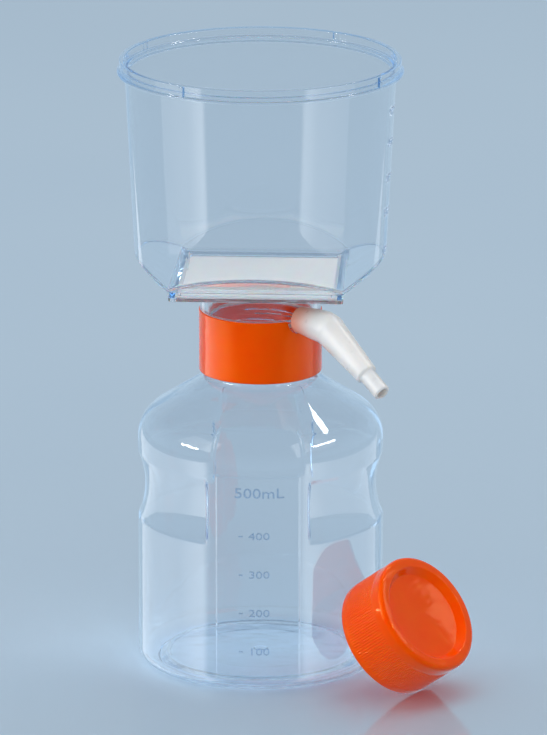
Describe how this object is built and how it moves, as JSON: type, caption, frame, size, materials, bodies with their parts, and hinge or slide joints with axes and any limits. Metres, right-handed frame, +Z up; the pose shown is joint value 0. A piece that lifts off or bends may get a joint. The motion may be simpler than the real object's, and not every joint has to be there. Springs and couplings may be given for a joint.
{
  "type": "vacuum filtration unit",
  "caption": "Clear funnel with a square filter membrane, screwed by an orange ring onto a clear receiving bottle, with an angled vacuum hose connector and a loose storage cap.",
  "frame": {"origin": "on the bottle's axis, on the surface that the bottle stands on", "axes": "+Z up along the bottle's and the funnel's common axis, -Y towards the bottle's label panel and one side of the square membrane, +X to the right of it"},
  "size_m": [0.1376, 0.1193, 0.2385],
  "materials": {
    "clear_bottle": "clear moulded polystyrene, glossy",
    "clear_funnel": "clear moulded polystyrene, glossy",
    "clear_base": "clear moulded polystyrene, glossy",
    "orange_ring": "orange polyethylene, smooth satin gloss",
    "orange_cap": "orange polyethylene, finely ribbed side",
    "membrane_white": "matt white filter membrane",
    "seal_white": "soft matt seal",
    "connector_white": "translucent milky white, satin"
  },
  "bodies": {
    "receiver": {"bottle": "clear_bottle", "storage_cap": "orange_cap"},
    "seal": {"neck_seal": "seal_white"},
    "filter_head": {"funnel": "clear_funnel", "membrane": "membrane_white", "filter_base": "clear_base", "adapter_ring": "orange_ring"},
    "connector": {"hose_connector": "connector_white"}
  },
  "joints": [
    {"name": "head_lift", "type": "slide", "parent": "receiver", "child": "seal", "axis": [0, 0, 1], "range_m": [0, 0.0064]},
    {"name": "head_turn", "type": "hinge", "parent": "seal", "child": "filter_head", "pos_m": [0, 0, 0.13755], "axis": [0, 0, 1], "range_deg": [0, 540]},
    {"name": "connector_swivel", "type": "hinge", "parent": "filter_head", "child": "connector", "pos_m": [0.01616, -0.01733, 0.14055], "axis": [0.682, -0.7314, 0], "continuous": true}
  ],
  "couplings": [
    {"joint": "head_lift", "follows": "head_turn", "m_per_rad": 0.00067375}
  ]
}
